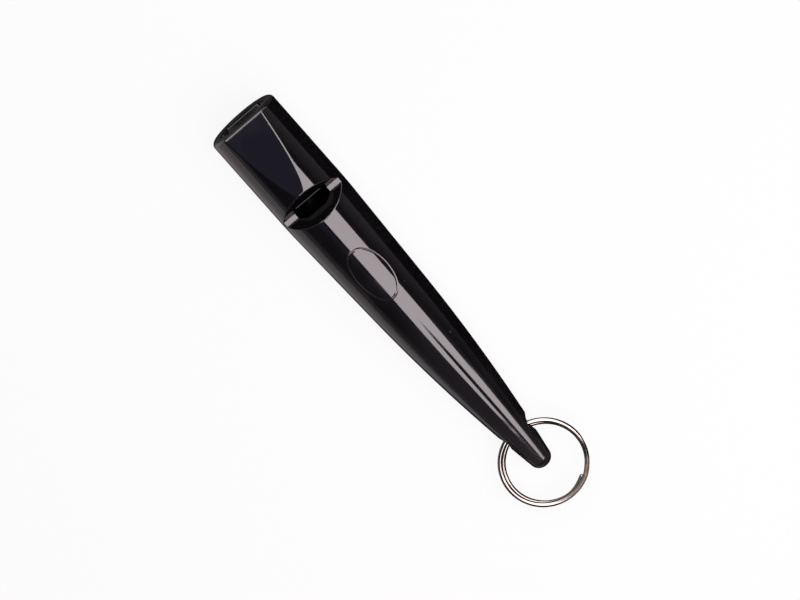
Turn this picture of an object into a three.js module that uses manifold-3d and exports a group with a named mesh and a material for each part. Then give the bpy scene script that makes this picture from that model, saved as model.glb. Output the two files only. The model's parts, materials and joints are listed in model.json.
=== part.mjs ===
// Pealess dog whistle: a tapered plastic body, the plug that forms its windway and a split ring through its tail.
// Millimetres, +Z up. It lies on its belly, window upwards, with the mouth end towards -X and the ring towards +X.
import * as THREE from 'three';
import { mergeVertices } from 'three/addons/utils/BufferGeometryUtils.js';
import Module from 'manifold-3d';

const wasm = await Module();
wasm.setup();
const degrees = THREE.MathUtils.degToRad;

// Outside of the body: barrel, belly cone, curved tail and round nose, one after the other from the mouth end
const BODY_LENGTH = 80;
const BARREL_RADIUS = 6.65;
const BARREL_LENGTH = 20;
const BELLY_LENGTH = 21;
const BELLY_TAPER = degrees(2.3);
const NOSE_RADIUS = 2.1;
const NOSE_LENGTH = 2.1;
const MOUTH_ROUND = 0.9;

// Flat on top of the mouthpiece, which rises to the crown of the barrel
const FLAT_DEPTH = 1.4;
const FLAT_LENGTH = 15.4;

// Window notch across the top, with its floor above the body's axis
const WINDOW_START = 17.95;
const WINDOW_FLOOR_LENGTH = 0.95;
const WINDOW_FLOOR_HEIGHT = 2.67;
const BREATH_WALL_LEAN = degrees(32);
const LIP_LEAN = degrees(32);

// Bore for the plug, and the sound chamber behind the shoulder that stops the plug, both under one flat roof
const BORE_RADIUS = 4.65;
const BORE_ROOF_HEIGHT = 4;
const CHAMBER_RADIUS = 4.4;
const CHAMBER_LENGTH = 15;

// Plug, whose sloping top is the floor of the windway
const PLUG_CLEARANCE = 0.3;
const PLUG_INSET = 0.1;
const PLUG_FRONT_HEIGHT = -2.9;

// Split ring of flat wire, two turns that step from the lower coil up to the upper one
const RING_OUTER_RADIUS = 8;
const WIRE_WIDTH = 1;
const WIRE_FLAT = 0.7;
const WIRE_THICKNESS = 0.62;
const COIL_GAP = 0.45;
const COIL_SPREAD = 0.25;
const RING_END_ANGLE = degrees(30);
const STEP_ANGLE = degrees(30);

// Eye for the ring, right through the tail from side to side
const EYE_FROM_TIP = 7.6;
const EYE_CLEARANCE = 0.3;

// Fineness of the round shapes, and how far a cutter reaches past what it cuts
const ROUND_SIDES = 48;
const EYE_SIDES = 32;
const EDGE_STEPS = 4;
const NOSE_STEPS = 7;
const TAIL_STEPS = 12;
const LOOP_STEPS = 24;
const OVERCUT = 2;

const blackPlastic = new THREE.MeshStandardMaterial({ color: 0x141416, roughness: 0.25 });
const plugPlastic = new THREE.MeshStandardMaterial({ color: 0x1b1b1e, roughness: 0.4 });
const platedSteel = new THREE.MeshStandardMaterial({ color: 0xc9c4ba, metalness: 1, roughness: 0.25 });

// A closed solid from a geometry whose seams and poles still have double vertices
function solidOf(geometry) {
  geometry.deleteAttribute('normal');
  geometry.deleteAttribute('uv');
  const merged = mergeVertices(geometry);
  const corners = merged.index.array;
  const triVerts = [];
  for (let i = 0; i < corners.length; i += 3) {
    const [a, b, c] = corners.slice(i, i + 3);
    if (a !== b && b !== c && c !== a) triVerts.push(a, b, c);
  }
  return new wasm.Manifold(new wasm.Mesh({
    numProp: 3,
    vertProperties: merged.attributes.position.array,
    triVerts: new Uint32Array(triVerts),
  }));
}

function meshOf(solid, name, material) {
  const { vertProperties, triVerts } = solid.getMesh();
  const geometry = new THREE.BufferGeometry();
  geometry.setAttribute('position', new THREE.BufferAttribute(vertProperties, 3));
  geometry.setIndex(new THREE.BufferAttribute(triVerts, 1));
  const flatShaded = geometry.toNonIndexed();
  flatShaded.computeVertexNormals();
  const mesh = new THREE.Mesh(flatShaded, material);
  mesh.name = name;
  return mesh;
}

// Turned shape about the body's axis, from points of radius and distance along it, with a flat side facing down
function turned(points) {
  const lathe = new THREE.LatheGeometry(points, ROUND_SIDES, Math.PI / ROUND_SIDES);
  return solidOf(lathe.rotateZ(-Math.PI / 2));
}

// Prism across the whole body from a side outline of distance along the axis and height above it
function acrossBody(outline) {
  const depth = 2 * (BARREL_RADIUS + OVERCUT);
  const prism = new THREE.ExtrudeGeometry(new THREE.Shape(outline), { depth, bevelEnabled: false });
  return solidOf(prism.rotateX(Math.PI / 2).translate(0, depth / 2, 0));
}

const point = (x, y) => new THREE.Vector2(x, y);

// Tail: the belly's slope runs on and bends evenly towards the nose
const tailStart = BARREL_LENGTH + BELLY_LENGTH;
const tailLength = BODY_LENGTH - NOSE_LENGTH - tailStart;
const tailStartRadius = BARREL_RADIUS - BELLY_LENGTH * Math.tan(BELLY_TAPER);
const tailMiddleRadius = tailStartRadius - (tailLength / 2) * Math.tan(BELLY_TAPER);
const tailEndSlope = (tailMiddleRadius - NOSE_RADIUS) / (tailLength / 2);
const tailCurve = new THREE.QuadraticBezierCurve(
  point(tailStartRadius, tailStart),
  point(tailMiddleRadius, tailStart + tailLength / 2),
  point(NOSE_RADIUS, BODY_LENGTH - NOSE_LENGTH),
);

// Ring in its eye: the wire's bend is shared evenly to both sides of the eye's axis
const eyeX = BODY_LENGTH - EYE_FROM_TIP;
const eyeHalfLength = tailCurve.getPoint((eyeX - tailStart) / tailLength).x;
const upperCoilRadius = RING_OUTER_RADIUS - WIRE_WIDTH / 2;
const lowerCoilRadius = upperCoilRadius - COIL_SPREAD;
const meanCoilRadius = (upperCoilRadius + lowerCoilRadius) / 2;
const wireBend = meanCoilRadius - Math.sqrt(meanCoilRadius ** 2 - eyeHalfLength ** 2);
const ringReach = meanCoilRadius - wireBend / 2;
const coilRise = WIRE_THICKNESS + COIL_GAP;
const eyeRadius = Math.hypot(WIRE_WIDTH + COIL_SPREAD + wireBend, WIRE_THICKNESS + coilRise) / 2 + EYE_CLEARANCE;

function whistleBody() {
  const mouthArc = new THREE.Path();
  mouthArc.absarc(BARREL_RADIUS - MOUTH_ROUND, MOUTH_ROUND, MOUTH_ROUND, -Math.PI / 2, 0);
  const noseCurve = new THREE.QuadraticBezierCurve(
    tailCurve.v2,
    point(NOSE_RADIUS - NOSE_LENGTH * tailEndSlope, BODY_LENGTH),
    point(0, BODY_LENGTH),
  );
  const outside = turned([
    point(0, 0),
    ...mouthArc.getPoints(EDGE_STEPS),
    point(BARREL_RADIUS, BARREL_LENGTH),
    ...tailCurve.getPoints(TAIL_STEPS),
    ...noseCurve.getPoints(NOSE_STEPS).slice(1),
  ]);
  return outside.subtract(mouthFlat()).subtract(windowNotch()).subtract(bore()).subtract(eye());
}

// The wedge above the flat of the mouthpiece
function mouthFlat() {
  const heightAt = (x) => BARREL_RADIUS - FLAT_DEPTH * (1 - x / FLAT_LENGTH);
  const end = FLAT_LENGTH + OVERCUT;
  return acrossBody([point(-OVERCUT, heightAt(-OVERCUT)), point(end, heightAt(end)), point(-OVERCUT, heightAt(end))]);
}

function windowNotch() {
  const windowEnd = WINDOW_START + WINDOW_FLOOR_LENGTH;
  const top = BARREL_RADIUS + OVERCUT;
  const rise = top - WINDOW_FLOOR_HEIGHT;
  return acrossBody([
    point(WINDOW_START, WINDOW_FLOOR_HEIGHT),
    point(windowEnd, WINDOW_FLOOR_HEIGHT),
    point(windowEnd + rise * Math.tan(LIP_LEAN), top),
    point(WINDOW_START - rise * Math.tan(BREATH_WALL_LEAN), top),
  ]);
}

function bore() {
  const chamberEnd = WINDOW_START + WINDOW_FLOOR_LENGTH + CHAMBER_LENGTH;
  const round = turned([
    point(0, -OVERCUT),
    point(BORE_RADIUS, -OVERCUT),
    point(BORE_RADIUS, WINDOW_START),
    point(CHAMBER_RADIUS, WINDOW_START),
    point(CHAMBER_RADIUS, chamberEnd),
    point(0, chamberEnd),
  ]);
  const front = -2 * OVERCUT;
  const back = chamberEnd + OVERCUT;
  const top = BORE_RADIUS + OVERCUT;
  const overRoof = [point(front, BORE_ROOF_HEIGHT), point(back, BORE_ROOF_HEIGHT), point(back, top), point(front, top)];
  return round.subtract(acrossBody(overRoof));
}

function eye() {
  const drill = new THREE.CylinderGeometry(eyeRadius, eyeRadius, 2 * (eyeHalfLength + OVERCUT), EYE_SIDES);
  return solidOf(drill.translate(eyeX, 0, 0));
}

function windwayPlug() {
  const radius = BORE_RADIUS - PLUG_CLEARANCE;
  const end = WINDOW_START - PLUG_CLEARANCE;
  const rod = turned([point(0, PLUG_INSET), point(radius, PLUG_INSET), point(radius, end), point(0, end)]);
  const slope = (WINDOW_FLOOR_HEIGHT - PLUG_FRONT_HEIGHT) / (end - PLUG_INSET);
  const heightAt = (x) => PLUG_FRONT_HEIGHT + slope * (x - PLUG_INSET);
  const front = PLUG_INSET - OVERCUT;
  const back = end + OVERCUT;
  const top = BORE_RADIUS + OVERCUT;
  const windway = [point(front, heightAt(front)), point(back, heightAt(back)), point(back, top), point(front, top)];
  return rod.subtract(acrossBody(windway));
}

// The wire's section, across its width and its thickness, goes round the ring's own axis for nearly two turns
const section = [
  point(WIRE_WIDTH / 2, 0),
  point(WIRE_FLAT / 2, WIRE_THICKNESS / 2),
  point(-WIRE_FLAT / 2, WIRE_THICKNESS / 2),
  point(-WIRE_WIDTH / 2, 0),
  point(-WIRE_FLAT / 2, -WIRE_THICKNESS / 2),
  point(WIRE_FLAT / 2, -WIRE_THICKNESS / 2),
];

// Point of the wire at an angle wound from its lower end, offset from its centre line by a section point
function wirePoint(wound, offset) {
  const up = THREE.MathUtils.smoothstep(wound, 2 * Math.PI - STEP_ANGLE, 2 * Math.PI);
  const radius = THREE.MathUtils.lerp(lowerCoilRadius, upperCoilRadius, up) + offset.x;
  const height = coilRise * (up - 0.5) + offset.y;
  const angle = RING_END_ANGLE - wound;
  return new THREE.Vector3(radius * Math.cos(angle), radius * Math.sin(angle), height);
}

function splitRing() {
  const windEnd = 4 * Math.PI - STEP_ANGLE;
  const rings = Math.round((windEnd / (2 * Math.PI)) * LOOP_STEPS);
  const sides = section.length;
  const positions = [];
  const faces = [];
  for (let ring = 0; ring <= rings; ring++) {
    for (const corner of section) positions.push(...wirePoint((ring / rings) * windEnd, corner).toArray());
  }
  for (let ring = 0; ring < rings; ring++) {
    for (let side = 0; side < sides; side++) {
      const a = ring * sides + side;
      const b = ring * sides + ((side + 1) % sides);
      faces.push(a, b, a + sides, b, b + sides, a + sides);
    }
  }
  for (let side = 1; side < sides - 1; side++) {
    const last = rings * sides;
    faces.push(0, side + 1, side, last, last + side, last + side + 1);
  }
  const geometry = new THREE.BufferGeometry();
  geometry.setAttribute('position', new THREE.Float32BufferAttribute(positions, 3));
  geometry.setIndex(faces);
  return solidOf(geometry);
}

// Least gap between the lower and the upper coil, from points along the sides of the wire's section
function leastCoilGap() {
  const pointsPerSide = 6;
  const outline = section.flatMap((corner, i) => {
    const next = section[(i + 1) % section.length];
    return Array.from({ length: pointsPerSide }, (_, k) => corner.clone().lerp(next, k / pointsPerSide));
  });
  let least = Infinity;
  for (let wound = 0; wound <= 2 * Math.PI - STEP_ANGLE; wound += degrees(5)) {
    const lower = outline.map((offset) => wirePoint(wound, offset));
    for (let turn = -degrees(20); turn <= degrees(20); turn += degrees(5)) {
      const upper = outline.map((offset) => wirePoint(wound + 2 * Math.PI + turn, offset));
      for (const a of lower) {
        for (const b of upper) least = Math.min(least, a.distanceTo(b));
      }
    }
  }
  return least;
}
console.log(`least gap of the split ring to itself: ${leastCoilGap().toFixed(2)} mm`);

// The ring stands straight out from the tail, in line with the body
const ringMesh = meshOf(splitRing(), 'split_ring', platedSteel);
ringMesh.position.set(eyeX + ringReach, 0, 0);

// Lying on the belly line turns the body's axis down towards the tail
const lying = new THREE.Group();
lying.rotation.y = BELLY_TAPER;
lying.add(meshOf(whistleBody(), 'whistle_body', blackPlastic));
lying.add(meshOf(windwayPlug(), 'windway_plug', plugPlastic));
lying.add(ringMesh);

const whistle = new THREE.Group();
whistle.name = 'dog_whistle';
whistle.add(lying);
whistle.updateMatrixWorld(true);

// The middle of the whole part's underside is the origin
const bounds = new THREE.Box3().setFromObject(whistle, true);
const middle = bounds.getCenter(new THREE.Vector3());
lying.position.set(-middle.x, -middle.y, -bounds.min.z);

export default whistle;
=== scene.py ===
import json
import math

import bmesh
import bpy
from mathutils import Euler, Matrix, Vector


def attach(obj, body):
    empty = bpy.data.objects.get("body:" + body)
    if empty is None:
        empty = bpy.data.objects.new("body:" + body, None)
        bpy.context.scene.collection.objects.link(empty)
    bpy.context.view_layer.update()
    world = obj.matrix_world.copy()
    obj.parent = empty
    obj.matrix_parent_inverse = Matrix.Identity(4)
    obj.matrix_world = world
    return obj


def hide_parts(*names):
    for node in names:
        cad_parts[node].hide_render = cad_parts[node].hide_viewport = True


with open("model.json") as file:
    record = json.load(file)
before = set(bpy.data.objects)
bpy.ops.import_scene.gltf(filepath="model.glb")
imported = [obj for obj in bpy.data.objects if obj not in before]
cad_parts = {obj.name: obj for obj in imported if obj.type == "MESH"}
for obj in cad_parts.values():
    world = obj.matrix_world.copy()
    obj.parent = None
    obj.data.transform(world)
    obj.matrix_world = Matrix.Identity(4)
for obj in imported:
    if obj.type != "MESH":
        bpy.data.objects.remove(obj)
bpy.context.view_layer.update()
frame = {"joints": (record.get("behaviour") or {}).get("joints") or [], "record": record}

# Lie of the whistle
# The whistle lies on its belly, so its axis dips towards the tail. The end face at the mouth gives the axis,
# and the eye lies on it. Every piece is laid out in millimetres from the mouth end, with x along the axis,
# y to the right and z up.
EYE_FROM_MOUTH = 72.4
MILLIMETRE = 0.001

mounts = {mount["name"]: mount for mount in frame["record"]["mounts"]}
whistle_axis = -Vector(mounts["mouth_end_face"]["axis"]).normalized()
eye_middle = Vector(frame["joints"][0]["pos_m"])
mouth_middle = eye_middle - whistle_axis * EYE_FROM_MOUTH * MILLIMETRE
axis_dip = math.atan2(-whistle_axis.z, whistle_axis.x)
whistle_lie = Matrix.LocRotScale(mouth_middle, Euler((0, axis_dip, 0)), Vector((MILLIMETRE,) * 3))

# Whistle body
# One hollow moulding of glossy black plastic: a barrel with a flat for the lips, a window cut across its top,
# a belly that tapers into the tail and an eye through the tail. Every edge of the mould is slightly rounded.
body_sizes = {
    "Length": 80.0,
    "Barrel Radius": 6.65,
    "Barrel Length": 20.0,
    "Barrel Blend": 3.0,
    "Belly End": 41.0,
    "Taper": math.tan(math.radians(2.3)),
    "Tail Bend": 0.0016337,
    "Mouth Round": 0.9,
    "Nose Round": 1.5,
    "Flat Depth": 1.4,
    "Flat Length": 15.4,
    "Flat Edge": 0.34,
    "Flat Front Edge": 0.65,
    "Window Start": 17.95,
    "Window End": 18.9,
    "Window Floor": 2.67,
    "Breath Wall Lean": math.radians(32),
    "Lip Lean": math.radians(32),
    "Window Edge": 0.1,
    "Bore Radius": 4.65,
    "Bore Roof": 4.0,
    "Chamber Radius": 4.4,
    "Chamber End": 33.9,
    "Mouth Rim": 0.35,
    "Lip Edge": 0.03,
    "Eye Left Radius": 1.44,
    "Eye Right Radius": 1.48,
    "Eye Left Edge": 0.08,
    "Eye Right Edge": 0.5,
    "Oval Middle": 34.0,
    "Oval Length": 10.6,
    "Oval Width": 6.2,
    "Oval Line": 0.18,
    "Oval Depth": 0.05,
}


class Number:
    """A number of a node tree. Sums and products with it become Math nodes of that tree."""

    def __init__(self, socket):
        self.socket = socket

    def math(self, operation, *others):
        node = self.socket.id_data.nodes.new("ShaderNodeMath")
        node.operation = operation
        for slot, value in enumerate((self, *others)):
            feed(node.inputs[slot], value)
        return Number(node.outputs[0])

    def __add__(self, other):
        return self.math("ADD", other)

    def __sub__(self, other):
        return self.math("SUBTRACT", other)

    def __rsub__(self, other):
        return -self + other

    def __mul__(self, other):
        return self.math("MULTIPLY", other)

    def __truediv__(self, other):
        return self.math("DIVIDE", other)

    def __neg__(self):
        return self * -1.0

    __radd__ = __add__
    __rmul__ = __mul__

    def higher(self, other):
        return self.math("MAXIMUM", other)

    def lower(self, other):
        return self.math("MINIMUM", other)

    def above(self, other):
        return self.math("GREATER_THAN", other)

    def root(self):
        return self.math("SQRT")

    def eased(self, low, high):
        """0 below low, 1 above high, and an even S between them."""
        share = ((self - low) / (high - low)).higher(0.0).lower(1.0)
        return share * share * (3.0 - share * 2.0)


def feed(socket, value):
    """Puts a value into a socket, by a link where it is a number or a socket of the tree."""
    if isinstance(value, Number):
        value = value.socket
    if isinstance(value, bpy.types.NodeSocket):
        socket.id_data.links.new(value, socket)
    else:
        socket.default_value = value


def add_node(tree, kind, inputs, **settings):
    """A node with its settings and its inputs, which are named or numbered."""
    node = tree.nodes.new(kind)
    for name, value in settings.items():
        setattr(node, name, value)
    for slot, value in inputs.items():
        feed(node.inputs[slot], value)
    return node


def rounded_edge(first, second, edge, closeness=0.0):
    """Distance from what two distances both leave, with the edge where they meet rounded.
    Closeness is the cosine of the angle between the two surfaces' directions."""
    over_first = first + edge
    over_second = second + edge
    outermost = over_first.higher(over_second)
    over_second = over_second.higher(over_first * closeness)
    over_first = (over_first - over_second * closeness).higher(0.0)
    aside = over_first * over_first / (1.0 - closeness * closeness)
    corner = (over_second * over_second + aside).root()
    return outermost.lower(0.0) + outermost.above(0.0) * corner - edge


def body_rule(x, y, z, size):
    """Distance in millimetres from the surface of the body, below nought inside the plastic."""
    from_axis = (y * y + z * z).root()
    past_barrel = (x - size["Barrel Length"]).math("SMOOTH_MAX", 0.0, size["Barrel Blend"])
    past_belly = (x - size["Belly End"]).higher(0.0)
    radius = size["Barrel Radius"] - size["Taper"] * past_barrel - size["Tail Bend"] * past_belly * past_belly

    # Fine oval line pressed into the crown behind the window
    along_oval = (x - size["Oval Middle"]) * 2.0 / size["Oval Length"]
    across_oval = y.math("ARCTAN2", z) * radius * 2.0 / size["Oval Width"]
    oval = (along_oval * along_oval + across_oval * across_oval).root()
    from_line = (oval - 1.0).math("ABSOLUTE") * size["Oval Width"] * 0.5
    line = (1.0 - from_line.eased(0.0, size["Oval Line"])) * z.above(0.0)
    distance = from_axis - radius + line * size["Oval Depth"]

    # The flat that rises to the crown, with an edge of even width, and the two square ends with round edges
    least_from_axis = 0.1
    nearly_level = 0.998
    flat_slope = size["Flat Depth"] / size["Flat Length"]
    flat_cosine = (flat_slope * flat_slope + 1.0).math("INVERSE_SQRT")
    flat_height = size["Barrel Radius"] - size["Flat Depth"] + flat_slope * x
    over_flat = (z - flat_height) * flat_cosine
    closeness = (flat_cosine * z / from_axis.higher(least_from_axis)).higher(0.0).lower(nearly_level)
    distance = rounded_edge(distance, over_flat, size["Flat Edge"] / closeness.math("ARCCOSINE"), closeness)
    top_share = z.eased(3.0, 5.0)
    front_edge = size["Mouth Round"] + (size["Flat Front Edge"] - size["Mouth Round"]) * top_share
    distance = rounded_edge(distance, -x, front_edge)
    distance = rounded_edge(distance, x - size["Length"], size["Nose Round"])

    # Window across the top, between the breath wall and the ramp of the lip
    over_floor = z - size["Window Floor"]
    wall = size["Breath Wall Lean"]
    from_wall = (x - size["Window Start"]) * wall.math("COSINE") + over_floor * wall.math("SINE")
    ramp = size["Lip Lean"]
    from_ramp = (size["Window End"] - x) * ramp.math("COSINE") + over_floor * ramp.math("SINE")
    in_window = from_wall.lower(from_ramp).lower(over_floor)
    distance = rounded_edge(distance, in_window, size["Window Edge"])

    # Bore and sound chamber, with a round rim at the mouth and a sharp lip at the window
    in_bore = (size["Bore Radius"] - from_axis).lower(size["Window Start"] - x)
    in_chamber = (size["Chamber Radius"] - from_axis).lower(size["Chamber End"] - x)
    in_hollow = in_bore.higher(in_chamber).lower(size["Bore Roof"] - z)
    inward_share = x.eased(6.0, 12.0)
    bore_edge = size["Mouth Rim"] * (1.0 - inward_share) + size["Lip Edge"] * inward_share
    distance = rounded_edge(distance, in_hollow, bore_edge)

    # Eye through the tail, rounder on the right side
    from_eye = x - EYE_FROM_MOUTH
    right_share = y.eased(-2.5, 2.5)
    eye_radius = size["Eye Left Radius"] + (size["Eye Right Radius"] - size["Eye Left Radius"]) * right_share
    eye_edge = size["Eye Left Edge"] + (size["Eye Right Edge"] - size["Eye Left Edge"]) * right_share
    in_eye = eye_radius - (from_eye * from_eye + z * z).root()
    return rounded_edge(distance, in_eye, eye_edge)


def size_tree(name, sizes):
    """A geometry tree with a named input for each size, and the nodes where it starts and ends."""
    tree = bpy.data.node_groups.new(name, "GeometryNodeTree")
    tree.interface.new_socket("Geometry", in_out="INPUT", socket_type="NodeSocketGeometry")
    for size in sizes:
        tree.interface.new_socket(size, in_out="INPUT", socket_type="NodeSocketFloat")
    tree.interface.new_socket("Geometry", in_out="OUTPUT", socket_type="NodeSocketGeometry")
    return tree, tree.nodes.new("NodeGroupInput"), tree.nodes.new("NodeGroupOutput")


def captured(tree, geometry, kind, value):
    """The geometry with a value kept on it as it is now, and that value."""
    node = tree.nodes.new("GeometryNodeCaptureAttribute")
    node.capture_items.new(kind, "Kept")
    feed(node.inputs["Geometry"], geometry)
    feed(node.inputs["Kept"], value)
    return node.outputs["Geometry"], node.outputs["Kept"]


def laid_down(tree, geometry):
    """The geometry taken from the whistle's own layout in millimetres to its lie in the frame."""
    place, turn, scale = whistle_lie.decompose()
    lie = {"Geometry": geometry, "Translation": place, "Rotation": turn.to_euler(), "Scale": scale}
    return add_node(tree, "GeometryNodeTransform", lie).outputs[0]


def finish_tree(tree, geometry, material, group_output):
    """Ends a geometry tree in real meshes with their material."""
    realized = add_node(tree, "GeometryNodeRealizeInstances", {"Geometry": geometry}).outputs[0]
    covered = {"Geometry": realized, "Material": material}
    finished = add_node(tree, "GeometryNodeSetMaterial", covered)
    feed(group_output.inputs["Geometry"], finished.outputs[0])


def evaluated_piece(name, tree, values):
    """A plain mesh object of what the geometry tree makes from these values of its named inputs."""
    maker = bpy.data.objects.new(name + "_maker", bpy.data.meshes.new(name + "_maker"))
    bpy.context.scene.collection.objects.link(maker)
    modifier = maker.modifiers.new(name, "NODES")
    modifier.node_group = tree
    for item in tree.interface.items_tree:
        if item.item_type == "SOCKET" and item.in_out == "INPUT" and item.name in values:
            modifier[item.identifier] = values[item.name]
    evaluated = maker.evaluated_get(bpy.context.evaluated_depsgraph_get())
    mesh = bpy.data.meshes.new_from_object(evaluated)
    maker.modifiers.remove(modifier)
    bpy.data.objects.remove(maker)
    mesh.name = name
    piece = bpy.data.objects.new(name, mesh)
    bpy.context.scene.collection.objects.link(piece)
    return piece


def close_skin(mesh):
    """Leads the edges of uncut faces through the corners that cut neighbours have halfway along them."""
    rounds = 6
    halfway_reach = 0.3
    skin = bmesh.new()
    skin.from_mesh(mesh)
    for _ in range(rounds):
        open_edges = [edge for edge in skin.edges if edge.is_boundary]
        beside = {}
        for edge in open_edges:
            for corner in edge.verts:
                beside.setdefault(corner, []).append(edge.other_vert(corner))
        halfway_corners = {}
        for edge in open_edges:
            start, end = edge.verts
            middle = (start.co + end.co) / 2
            near_start = {far for near in beside[start] for far in (near, *beside[near])}
            near_end = {far for near in beside[end] for far in (near, *beside[near])}
            between = (near_start & near_end) - {start, end}
            gaps = [((corner.co - middle).length, corner.index) for corner in between]
            gap, number = min(gaps, default=(math.inf, -1))
            if gap < edge.calc_length() * halfway_reach:
                halfway_corners[edge] = number
        skin.verts.ensure_lookup_table()
        targets = {edge: skin.verts[number] for edge, number in halfway_corners.items()}
        welds = {}
        for edge, target in targets.items():
            _, halfway = bmesh.utils.edge_split(edge, edge.verts[0], 0.5)
            welds[halfway] = target
        bmesh.ops.weld_verts(skin, targetmap=welds)
        skin.verts.index_update()
    bmesh.ops.holes_fill(skin, edges=[edge for edge in skin.edges if edge.is_boundary], sides=0)
    bmesh.ops.delete(skin, geom=[edge for edge in skin.edges if edge.is_wire], context="EDGES")
    skin.to_mesh(mesh)
    skin.free()


def moulded_piece(name, rule, sizes, low, high, voxel, edge_face, material):
    """A piece whose surface is where its rule gives nought, with that rule's own directions as its normals.
    It lies between the corners low and high. Voxel is the step of its grid, and edge_face the area down to
    which its bent faces are cut."""
    adaptivity = 0.01
    direction_step = 0.012
    cut_rounds = 4
    even_face = 0.9988
    weld_reach = 0.0005

    distance_group = bpy.data.node_groups.new(name + "_distance", "GeometryNodeTree")
    distance_group.interface.new_socket("Point", in_out="INPUT", socket_type="NodeSocketVector")
    for size in sizes:
        distance_group.interface.new_socket(size, in_out="INPUT", socket_type="NodeSocketFloat")
    distance_group.interface.new_socket("Distance", in_out="OUTPUT", socket_type="NodeSocketFloat")
    given = distance_group.nodes.new("NodeGroupInput")
    parts = add_node(distance_group, "ShaderNodeSeparateXYZ", {0: given.outputs["Point"]})
    size_numbers = {size: Number(given.outputs[size]) for size in sizes}
    distance = rule(*(Number(part) for part in parts.outputs), size_numbers)
    add_node(distance_group, "NodeGroupOutput", {"Distance": distance})

    tree, group_input, group_output = size_tree(name + "_moulding", sizes)
    position = tree.nodes.new("GeometryNodeInputPosition").outputs[0]

    def distance_at(point):
        inputs = {"Point": point}
        for size in sizes:
            inputs[size] = group_input.outputs[size]
        return Number(add_node(tree, "GeometryNodeGroup", inputs, node_tree=distance_group).outputs[0])

    def vector_math(operation, *inputs):
        return add_node(tree, "ShaderNodeVectorMath", dict(enumerate(inputs)), operation=operation).outputs[0]

    def scaled(vector, factor):
        node = add_node(tree, "ShaderNodeVectorMath", {"Vector": vector, "Scale": factor}, operation="SCALE")
        return node.outputs[0]

    def outward():
        """Direction out of the surface, from the distances at four points around each point."""
        total = None
        for corner in ((1, -1, -1), (-1, -1, 1), (-1, 1, -1), (1, 1, 1)):
            step = Vector(corner)
            near = vector_math("ADD", position, step * direction_step)
            pull = scaled(step, distance_at(near))
            total = pull if total is None else vector_math("ADD", total, pull)
        return vector_math("NORMALIZE", total)

    def drawn_onto_surface(skin):
        """The skin with each of its corners moved straight onto the surface."""
        pull = scaled(outward(), -distance_at(position))
        return add_node(tree, "GeometryNodeSetPosition", {"Geometry": skin, "Offset": pull}).outputs[0]

    # Distances on a grid of points, the mesh where they pass nought, and its corners drawn onto the surface
    grid = {"Density": -distance_at(position), "Background": -1.0, "Min": low, "Max": high}
    for axis, start, end in zip("XYZ", low, high):
        grid["Resolution " + axis] = round((end - start) / voxel) + 1
    volume = add_node(tree, "GeometryNodeVolumeCube", grid)
    skin = {"Volume": volume.outputs[0], "Threshold": 0.0, "Adaptivity": adaptivity}
    mesh = add_node(tree, "GeometryNodeVolumeToMesh", skin, resolution_mode="GRID").outputs[0]
    mesh = drawn_onto_surface(drawn_onto_surface(mesh))

    # Large faces whose corners point in clearly different ways are cut in four, so that tight edges come out
    # even. The mean of a face's corner directions is shorter the more they differ.
    area = Number(tree.nodes.new("GeometryNodeInputMeshFaceArea").outputs[0])
    for _ in range(cut_rounds):
        mesh, corner_way = captured(tree, mesh, "VECTOR", outward())
        mean_way = add_node(tree, "ShaderNodeVectorMath", {0: corner_way}, operation="LENGTH")
        bent = Number(mean_way.outputs["Value"]).math("LESS_THAN", even_face)
        parted = {"Geometry": mesh, "Selection": bent * area.above(edge_face)}
        parts = add_node(tree, "GeometryNodeSeparateGeometry", parted, domain="FACE")
        large = {"Mesh": parts.outputs["Selection"], "Level": 1}
        cut = add_node(tree, "GeometryNodeSubdivideMesh", large).outputs[0]
        joined = tree.nodes.new("GeometryNodeJoinGeometry")
        feed(joined.inputs[0], parts.outputs["Inverted"])
        feed(joined.inputs[0], drawn_onto_surface(cut))
        welded = {"Geometry": joined.outputs[0], "Distance": weld_reach}
        mesh = add_node(tree, "GeometryNodeMergeByDistance", welded).outputs[0]

    # Into the whistle's lie on the table, with smooth normals that turn along
    mesh, way = captured(tree, mesh, "VECTOR", outward())
    turn = whistle_lie.decompose()[1].to_euler()
    turned = add_node(tree, "FunctionNodeRotateVector", {0: way, 1: turn}).outputs[0]
    smoothed = {"Geometry": laid_down(tree, mesh), "Shade Smooth": True}
    smooth = add_node(tree, "GeometryNodeSetShadeSmooth", smoothed).outputs[0]
    normal_node = tree.nodes.new("GeometryNodeSetMeshNormal")
    normal_node.mode = "FREE"
    normal_node.domain = "POINT"
    feed(normal_node.inputs["Mesh"], smooth)
    feed(normal_node.inputs["Custom Normal"], turned)
    finish_tree(tree, normal_node.outputs[0], material, group_output)
    piece = evaluated_piece(name, tree, sizes)
    close_skin(piece.data)
    return piece


def new_material(name):
    """An empty material with its shader, and the object's own coordinates."""
    material = bpy.data.materials.new(name)
    material.use_nodes = True
    tree = material.node_tree
    shader = tree.nodes["Principled BSDF"]
    point = tree.nodes.new("ShaderNodeTexCoord").outputs["Object"]
    return material, tree, shader, point


def noise(tree, vector, scale, detail):
    """Soft noise between 0 and 1."""
    inputs = {"Vector": vector, "Scale": scale, "Detail": detail}
    return Number(add_node(tree, "ShaderNodeTexNoise", inputs).outputs[0])


def mixed_colour(tree, share, first, second):
    """A colour between two others."""
    node = tree.nodes.new("ShaderNodeMix")
    node.data_type = "RGBA"
    feed(node.inputs[0], share)
    feed(node.inputs[6], first)
    feed(node.inputs[7], second)
    return node.outputs[2]


def fine_relief(tree, shader, height, depth):
    """Gives the shader a relief too fine for the mesh, of this depth in metres."""
    bump = add_node(tree, "ShaderNodeBump", {"Height": height, "Strength": 1.0, "Distance": depth})
    feed(shader.inputs["Normal"], bump.outputs[0])


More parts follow.
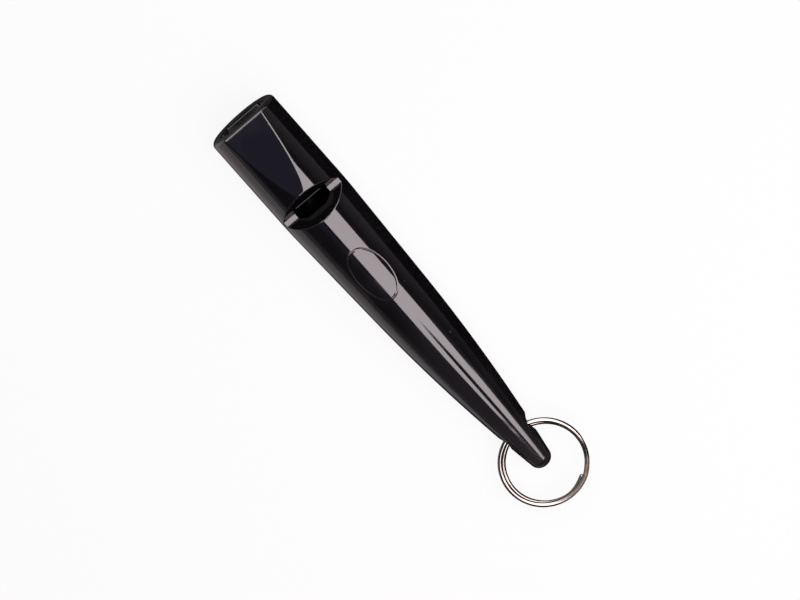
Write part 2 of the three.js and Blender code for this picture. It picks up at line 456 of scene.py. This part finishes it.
# Marks of use that both plastic pieces share: smudges, dust specks and hairline scratches
use_marks = bpy.data.node_groups.new("use_marks", "ShaderNodeTree")
use_marks.interface.new_socket("Point", in_out="INPUT", socket_type="NodeSocketVector")
for mark in ("Smudge", "Speck", "Scratch"):
    use_marks.interface.new_socket(mark, in_out="OUTPUT", socket_type="NodeSocketFloat")
marks_point = use_marks.nodes.new("NodeGroupInput").outputs[0]
smudge = noise(use_marks, marks_point, 120.0, 5.0).eased(0.42, 0.72)
speck_cells = add_node(use_marks, "ShaderNodeTexVoronoi", {"Vector": marks_point, "Scale": 260.0})
speck_chance = add_node(use_marks, "ShaderNodeSeparateColor", {0: speck_cells.outputs["Color"]}).outputs[0]
speck_dot = 1.0 - Number(speck_cells.outputs["Distance"]).eased(0.020, 0.045)
speck = speck_dot * Number(speck_chance).above(0.72)
lengthwise = {"Vector": marks_point, "Scale": (60.0, 900.0, 900.0)}
scratch_point = add_node(use_marks, "ShaderNodeMapping", lengthwise).outputs[0]
scratch_edge = (noise(use_marks, scratch_point, 1.0, 1.0) - 0.5).math("ABSOLUTE")
scratch = (1.0 - scratch_edge.eased(0.0, 0.012)) * smudge
add_node(use_marks, "NodeGroupOutput", {"Smudge": smudge, "Speck": speck, "Scratch": scratch})


def marks_of_use(tree, point):
    """How strongly a point of a plastic piece is smudged, specked and scratched."""
    marks = add_node(tree, "ShaderNodeGroup", {"Point": point}, node_tree=use_marks)
    return tuple(Number(marks.outputs[mark]) for mark in ("Smudge", "Speck", "Scratch"))


# Glossy black, rubbed duller where the ring swings against the tail, and a little where the lips hold it
DUST = (0.20, 0.19, 0.18, 1)
gloss_black, tree, shader, point = new_material("gloss_black_plastic")
smudge, speck, scratch = marks_of_use(tree, point)
place_along = Number(add_node(tree, "ShaderNodeSeparateXYZ", {0: point}).outputs[0])
ring_wear = place_along.eased(0.022, 0.034)
lip_wear = 1.0 - place_along.eased(-0.0445, -0.040)
wear = ring_wear + lip_wear * 0.15
cloudy = mixed_colour(tree, smudge, (0.0030, 0.0027, 0.0036, 1), (0.0055, 0.0050, 0.0062, 1))
scuffed = mixed_colour(tree, wear, cloudy, (0.0105, 0.0095, 0.0105, 1))
feed(shader.inputs["Base Color"], mixed_colour(tree, speck, scuffed, DUST))
feed(shader.inputs["Roughness"], smudge * 0.06 + speck * 0.4 + scratch * 0.1 + wear * 0.08 + 0.085)
shader.inputs["IOR"].default_value = 1.6
shader.inputs["Coat Weight"].default_value = 1.0
shader.inputs["Coat Roughness"].default_value = 0.05
peel = noise(tree, point, 420.0, 2.0)
fine_relief(tree, shader, peel * 0.5 - scratch * 0.12 + speck * 1.4, 0.000004)

body = moulded_piece(
    "whistle_body_moulding",
    body_rule,
    body_sizes,
    low=(-0.3, -7.05, -7.05),
    high=(80.25, 7.05, 7.05),
    voxel=0.08,
    edge_face=0.006,
    material=gloss_black,
)
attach(body, "whistle")
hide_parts("whistle_body")

# Windway plug
# A short rod of satin black plastic, pressed and bonded into the mouth end of the bore. Its top is cut to a
# slope, so that the breath comes in wide at the mouth and leaves as a thin sheet at the window.
plug_sizes = {
    "Radius": 4.6,
    "Front": 0.1,
    "Back": 17.6,
    "Front Height": -2.9,
    "Back Height": 2.67,
    "Front Edge": 0.18,
    "Back Edge": 0.054,
    "Top Edge": 0.3,
}


def plug_rule(x, y, z, size):
    """Distance in millimetres from the surface of the plug, below nought inside it."""
    distance = (y * y + z * z).root() - size["Radius"]
    distance = rounded_edge(distance, size["Front"] - x, size["Front Edge"])
    distance = rounded_edge(distance, x - size["Back"], size["Back Edge"])
    slope = (size["Back Height"] - size["Front Height"]) / (size["Back"] - size["Front"])
    over_top = z - size["Front Height"] - slope * (x - size["Front"])
    return rounded_edge(distance, over_top * (slope * slope + 1.0).math("INVERSE_SQRT"), size["Top Edge"])


satin_black, tree, shader, point = new_material("satin_black_plastic")
smudge, speck, scratch = marks_of_use(tree, point)
cloudy = mixed_colour(tree, smudge, (0.0042, 0.0039, 0.0044, 1), (0.0062, 0.0058, 0.0066, 1))
feed(shader.inputs["Base Color"], mixed_colour(tree, speck, cloudy, DUST))
feed(shader.inputs["Roughness"], smudge * 0.08 + scratch * 0.1 + 0.12)
fine_relief(tree, shader, noise(tree, point, 2600.0, 3.0), 0.0000015)

plug = moulded_piece(
    "windway_plug_moulding",
    plug_rule,
    plug_sizes,
    low=(-0.2, -4.9, -4.9),
    high=(17.9, 4.9, 4.9),
    voxel=0.12,
    edge_face=0.008,
    material=satin_black,
)
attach(plug, "whistle")
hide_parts("windway_plug")

# Split ring
# Slightly flattened spring-steel wire, wound in two turns with a step between them, nickel plated and hung
# through the eye. The lower coil lies a little off the upper one and its end springs inwards. The end of the
# upper coil is ground thin.
ring_sizes = {
    "Lower Radius": 7.2,
    "Upper Radius": 7.51,
    "Coil Rise": 0.89,
    "Wire Width": 0.88,
    "Wire Thickness": 0.8,
    "End Angle": math.radians(30),
    "Step Angle": math.radians(18),
    "Ground Length": 6.5,
    "Lower Shift Along": 0.34,
    "Lower Shift Aside": 0.08,
    "First End Bend": 0.4,
    "First End Length": 5.0,
    "Middle From Mouth": 79.3,
    "Middle Aside": -0.03,
}
full_turn = 2 * math.pi
step_along_wire = (full_turn - ring_sizes["Step Angle"] * 1.1) * ring_sizes["Lower Radius"]

# Drawn and stained nickel. The wire's attributes give millimetres along it and the share of the way round it.
nickel, tree, shader, point = new_material("nickel_plated_wire")
along = Number(add_node(tree, "ShaderNodeAttribute", {}, attribute_name="along_wire").outputs["Fac"])
around = Number(add_node(tree, "ShaderNodeAttribute", {}, attribute_name="around_wire").outputs["Fac"])
wire_point = add_node(tree, "ShaderNodeCombineXYZ", {0: along * 0.35, 1: around * 60.0}).outputs[0]
drawn = noise(tree, wire_point, 1.0, 3.0)
stain = noise(tree, point, 330.0, 4.0).eased(0.5, 0.75)
bright = mixed_colour(tree, drawn.eased(0.35, 0.65), (0.42, 0.385, 0.345, 1), (0.52, 0.49, 0.45, 1))
tarnished = mixed_colour(tree, stain * 0.6, bright, (0.34, 0.275, 0.21, 1))

# Dark brown and dull at the step; painted shade where the coils lie on each other, bright on the cut first
# end
# A short stretch at the step is dark brown, less metallic and rougher
past_step = along - step_along_wire
dark_step = (1.0 - past_step.math("ABSOLUTE").eased(0.7, 2.2)) * (0.55 + drawn * 0.8).lower(1.0)
lower_start = along.eased(0.1, 0.5) * (1.0 - along.eased(5.0, 10.0))
upper_start = past_step.eased(0.0, 1.5) * (1.0 - past_step.eased(5.0, 9.0))
# Painted shade: the wire is darker and duller where one coil lies against the other
coil_shade = lower_start.higher(upper_start) * (0.4 + drawn).lower(1.0)
shaded_wire = mixed_colour(tree, coil_shade, tarnished, (0.16, 0.145, 0.12, 1))
feed(shader.inputs["Base Color"], mixed_colour(tree, dark_step, shaded_wire, (0.15, 0.085, 0.055, 1)))
feed(shader.inputs["Metallic"], 1.0 - (dark_step * 0.9).higher(coil_shade * 0.7))
feed(shader.inputs["Roughness"], drawn * 0.05 + stain * 0.06 + dark_step.higher(coil_shade) * 0.3 + 0.05)
fine_relief(tree, shader, drawn, 0.000003)

# Path of the wire, from the first end on the lower coil to the ground end on the upper one
tree, group_input, group_output = size_tree("split_ring_winding", ring_sizes)
size = {name: Number(group_input.outputs[name]) for name in ring_sizes}
line = add_node(tree, "GeometryNodeCurvePrimitiveLine", {"Start": (0, 0, 0), "End": (1, 0, 0)})
steps = add_node(tree, "GeometryNodeResampleCurve", {"Curve": line.outputs[0], "Count": 520}).outputs[0]
share = Number(tree.nodes.new("GeometryNodeSplineParameter").outputs["Factor"])
wound_end = 2 * full_turn - size["Step Angle"]
wound = share * wound_end
up = wound.eased(full_turn - size["Step Angle"], full_turn)
from_start = share * wound_end * size["Lower Radius"]
to_end = (1.0 - share) * wound_end * size["Upper Radius"]
sprung_in = size["First End Bend"] * (1.0 - from_start.eased(0.0, size["First End Length"]))
coil_radius = size["Lower Radius"] + (size["Upper Radius"] - size["Lower Radius"]) * up - sprung_in
cut_end = 0.78 + 0.22 * from_start.eased(0.0, 0.3)
ground_end = 0.25 + 0.75 * to_end.eased(0.0, size["Ground Length"])
taper = cut_end.lower(ground_end)
angle = size["End Angle"] - wound
path = {
    0: coil_radius * angle.math("COSINE") + size["Lower Shift Along"] * (1.0 - up),
    1: coil_radius * angle.math("SINE") + size["Lower Shift Aside"] * (1.0 - up),
    2: size["Coil Rise"] * (up - 0.5) - (1.0 - taper) * size["Wire Thickness"] * 0.5 * up,
}
path_point = add_node(tree, "ShaderNodeCombineXYZ", path).outputs[0]
bent = {"Geometry": steps, "Position": path_point}
winding = add_node(tree, "GeometryNodeSetPosition", bent).outputs[0]
level = add_node(tree, "GeometryNodeSetCurveNormal", {"Curve": winding}, mode="Z_UP").outputs[0]
wire_path, wire_along = captured(tree, level, "FLOAT", from_start)

# Flattened section of the wire, swept along the path
circle = add_node(tree, "GeometryNodeCurvePrimitiveCircle", {"Resolution": 24, "Radius": 0.5}).outputs[0]
oval_size = add_node(tree, "ShaderNodeCombineXYZ", {0: size["Wire Width"], 1: size["Wire Thickness"], 2: 1.0})
flattened = {"Geometry": circle, "Scale": oval_size.outputs[0]}
section = add_node(tree, "GeometryNodeTransform", flattened).outputs[0]
section_share = tree.nodes.new("GeometryNodeSplineParameter").outputs["Factor"]
wire_section, wire_around = captured(tree, section, "FLOAT", section_share)
sweep = {"Curve": wire_path, "Profile Curve": wire_section, "Scale": taper, "Fill Caps": True}
wire = add_node(tree, "GeometryNodeCurveToMesh", sweep).outputs[0]
for name, value in (("along_wire", wire_along), ("around_wire", wire_around)):
    stored = {"Geometry": wire, "Name": name, "Value": value}
    wire = add_node(tree, "GeometryNodeStoreNamedAttribute", stored).outputs[0]

# Smooth where a face has four corners or fewer, and flat on the caps of the two ends, which have more
corners = Number(tree.nodes.new("GeometryNodeInputMeshFaceNeighbors").outputs["Vertex Count"])
smoothed = {"Geometry": wire, "Shade Smooth": 5.0 - corners}
smooth = add_node(tree, "GeometryNodeSetShadeSmooth", smoothed).outputs[0]
middle = add_node(tree, "ShaderNodeCombineXYZ", {0: size["Middle From Mouth"], 1: size["Middle Aside"]})
hung = {"Geometry": smooth, "Offset": middle.outputs[0]}
moved = add_node(tree, "GeometryNodeSetPosition", hung).outputs[0]
finish_tree(tree, laid_down(tree, moved), nickel, group_output)

ring = evaluated_piece("split_ring_wire", tree, ring_sizes)
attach(ring, "ring")
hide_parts("split_ring")

# Floor
# A plain sheet of white paper under the whistle, wide enough for views from every side.
paper, tree, shader, point = new_material("white_paper")
fibres = noise(tree, point, 900.0, 4.0)
paper_colour = mixed_colour(tree, fibres, (0.90, 0.90, 0.90, 1), (0.93, 0.93, 0.93, 1))
feed(shader.inputs["Base Color"], paper_colour)
shader.inputs["Roughness"].default_value = 0.9
shader.inputs["Specular IOR Level"].default_value = 0.0
rays = tree.nodes.new("ShaderNodeLightPath")
seen = Number(rays.outputs["Is Camera Ray"]) + Number(rays.outputs["Is Glossy Ray"])
seen = (seen + Number(rays.outputs["Is Transmission Ray"])).lower(1.0)
glow = add_node(tree, "ShaderNodeEmission", {"Color": (1, 1, 1, 1), "Strength": 1.0})
sheet = add_node(tree, "ShaderNodeMixShader", {0: seen * 0.9, 1: shader.outputs[0], 2: glow.outputs[0]})
feed(tree.nodes["Material Output"].inputs["Surface"], sheet.outputs[0])

floor_mesh = bpy.data.meshes.new("floor_sheet")
reach = 3.0
floor_corners = [(-reach, -reach, 0), (reach, -reach, 0), (reach, reach, 0), (-reach, reach, 0)]
floor_mesh.from_pydata(floor_corners, [], [(0, 1, 2, 3)])
floor_mesh.materials.append(paper)
floor = bpy.data.objects.new("floor_sheet", floor_mesh)
bpy.context.scene.collection.objects.link(floor)

# Light
# Four flat softboxes hang level: over the belly and tail, over the mouthpiece, past the ring and beyond the
# mouth end. Cards and dark flags that only show as reflections bound them on the gloss. The room is dim,
# with a pale wall low down and a window to the right of the mouth end.
LAMP_HEIGHT = 250.0
LAMP_RADIANCE = 3.7
LAMP_COLOUR = (1.0, 0.90, 0.925)

across = Vector((0, 1, 0))
upright = whistle_axis.cross(across)


def lie_point(x, y, z):
    """A point of the whistle's own layout, in the frame."""
    return whistle_lie @ Vector((x, y, z))


def softbox(name, x_range, y_range):
    """A level rectangular lamp over these stretches of the whistle's own layout."""
    lamp = bpy.data.lights.new(name, "AREA")
    lamp.shape = "RECTANGLE"
    lamp.size = (x_range[1] - x_range[0]) * MILLIMETRE
    lamp.size_y = (y_range[1] - y_range[0]) * MILLIMETRE
    lamp.energy = LAMP_RADIANCE * math.pi * lamp.size * lamp.size_y
    lamp.color = LAMP_COLOUR
    holder = bpy.data.objects.new(name, lamp)
    middle = lie_point(sum(x_range) / 2, sum(y_range) / 2, LAMP_HEIGHT)
    turn = Matrix((whistle_axis, across, upright)).transposed()
    holder.matrix_world = Matrix.Translation(middle) @ turn.to_4x4()
    bpy.context.scene.collection.objects.link(holder)


softbox("belly_softbox", (45, 260), (-68, 200))
softbox("mouthpiece_softbox", (-20, 45), (10, 200))
softbox("tail_softbox", (192, 260), (200, 235))
softbox("mouth_end_softbox", (-260, -60), (-75, 40))


def reflected_card(name, corners, strength_rule):
    """A card that only shows as a reflection on the whistle. Its rule gives the strength at each place."""
    card_material, card_tree, _, card_point = new_material(name)
    places = add_node(card_tree, "ShaderNodeSeparateXYZ", {0: card_point}).outputs
    strength = strength_rule(*(Number(place) for place in places))
    glow = add_node(card_tree, "ShaderNodeEmission", {"Color": (*LAMP_COLOUR, 1), "Strength": strength})
    feed(card_tree.nodes["Material Output"].inputs["Surface"], glow.outputs[0])
    card_mesh = bpy.data.meshes.new(name)
    card_mesh.from_pydata(corners, [], [tuple(range(len(corners)))])
    card_mesh.materials.append(card_material)
    card = bpy.data.objects.new(name, card_mesh)
    card.visible_camera = False
    card.visible_diffuse = False
    card.visible_shadow = False
    bpy.context.scene.collection.objects.link(card)


def table_strength(x, y, z):
    """Painted reflection of the table: brown-grey left of the barrel and the belly, painted shadow under the
    whistle, dim painted shadow in front of the mouth end, dark right of it and by the ring.
    """
    left = (-y).eased(0.008, 0.016)
    before_tail = 1.0 - x.eased(0.026, 0.046)
    before_mouth = 1.0 - x.eased(-0.047, -0.043)
    return left * before_tail * 0.38 + before_mouth * 0.06 + 0.006


def side_strength(x, y, z):
    """Painted reflection: dim grey that fades upwards and towards the tail, and bright beyond the mouth end.
    """
    beyond_mouth = 1.0 - x.eased(-0.065, -0.04)
    return (0.15 - z.eased(0.0, 0.08) * 0.08) * (1.0 - x.eased(0.0, 0.06) * 0.6) + beyond_mouth * 0.7


def lamp_strength(x, y, z):
    """Evenly bright, nearly as the softboxes are: a painted reflection of a lamp, which lights nothing."""
    return 3.4


def flag_strength(x, y, z):
    """Evenly dark: painted dark patches in the reflections of the softboxes."""
    return 0.03


table = [(-0.5, -0.5, 0.0003), (0.5, -0.5, 0.0003), (0.5, 0.11, 0.0003), (-0.5, 0.11, 0.0003)]
reflected_card("table_card", table, table_strength)
side = [(-0.3, 0.11, 0.0), (0.2, 0.11, 0.0), (0.2, 0.11, 0.08), (-0.3, 0.11, 0.08)]
reflected_card("side_card", side, side_strength)
front = [lie_point(-262, y, z) for y, z in ((-75, LAMP_HEIGHT), (40, LAMP_HEIGHT), (40, 190), (-75, 190))]
reflected_card("front_card", front, lamp_strength)
corner = [lie_point(x, y, LAMP_HEIGHT - 2) for x, y in ((-22, 60), (-22, 330), (-300, 330), (-300, 60))]
reflected_card("corner_card", corner, lamp_strength)

lens_near_side = [(122, 30), (132, 12), (149, 4), (182, -6), (262, -10)]
lens_far_side = [(262, 70), (182, 66), (149, 55), (132, 44)]
flags = {
    "lens_flag": lens_near_side + lens_far_side,
    "strip_edge_flag": [(40, -78), (150, -78), (150, -68), (120, -55), (90, -42), (40, -42)],
    "strip_gap_flag": [(194, -75), (200, -75), (200, 0), (194, 0)],
    "strip_end_flag": [(205, -75), (262, -75), (262, 0), (205, 0)],
    "mouth_flag": [(-140, -78), (-85, -78), (-85, 43), (-140, 43)],
}
for name, outline in flags.items():
    reflected_card(name, [lie_point(x, y, LAMP_HEIGHT - 5) for x, y in outline], flag_strength)

room = bpy.data.worlds.new("room")
bpy.context.scene.world = room
room.use_nodes = True
room_tree = room.node_tree
direction = room_tree.nodes.new("ShaderNodeTexCoord").outputs["Generated"]
towards = add_node(room_tree, "ShaderNodeSeparateXYZ", {0: direction}).outputs
forward = Number(towards[0])
height = Number(towards[2])
dim_share = height.eased(0.0, 0.36).higher(forward.eased(-0.2, 0.5))
low_colour = mixed_colour(room_tree, dim_share, (0.345, 0.335, 0.335, 1), (0.020, 0.019, 0.021, 1))
panel_share = forward.eased(0.25, 0.42) * (1.0 - forward.eased(0.52, 0.66))
panel_colour = mixed_colour(room_tree, panel_share, low_colour, (0.11, 0.10, 0.115, 1))
to_window = forward * -0.75 + Number(towards[1]) * 0.66
window_colour = mixed_colour(room_tree, to_window.eased(0.35, 0.75), panel_colour, (0.53, 0.49, 0.45, 1))
room_colour = mixed_colour(room_tree, height.eased(0.77, 0.97), window_colour, (0.090, 0.085, 0.142, 1))
feed(room_tree.nodes["Background"].inputs["Color"], room_colour)

# Camera
# The photograph is taken from above, a little towards the mouth end and to the right, with a long lens.
# The whistle's axis runs through the picture by these shares to the right and down.
CAMERA_TILT = math.radians(11.0)
CAMERA_ROLL = math.radians(6.8)
CAMERA_DISTANCE = 1.1
AXIS_RIGHT = 0.66200827
AXIS_DOWN = 0.74949653
PICTURE_WIDTH = 800
PIXELS_PER_MM = 5.873

towards_camera = (
    whistle_axis * -math.sin(CAMERA_TILT)
    + across * math.cos(CAMERA_TILT) * math.sin(CAMERA_ROLL)
    + upright * math.cos(CAMERA_TILT) * math.cos(CAMERA_ROLL)
)
axis_seen = (whistle_axis - towards_camera * whistle_axis.dot(towards_camera)).normalized()
side_seen = towards_camera.cross(axis_seen)
image_right = axis_seen * AXIS_RIGHT + side_seen * AXIS_DOWN
image_up = side_seen * AXIS_RIGHT - axis_seen * AXIS_DOWN

lens = bpy.data.cameras.new("photo_camera")
lens.sensor_width = 36.0
lens.lens = lens.sensor_width * CAMERA_DISTANCE * PIXELS_PER_MM / (PICTURE_WIDTH * MILLIMETRE)
lens.clip_start = 0.01
camera = bpy.data.objects.new("photo_camera", lens)
turn = Matrix((image_right, image_up, towards_camera)).transposed()
picture_middle = lie_point(41.54, -0.14, 0)
camera.matrix_world = Matrix.Translation(picture_middle + towards_camera * CAMERA_DISTANCE) @ turn.to_4x4()
bpy.context.scene.collection.objects.link(camera)
bpy.context.scene.camera = camera
bpy.context.scene.view_settings.view_transform = "Standard"
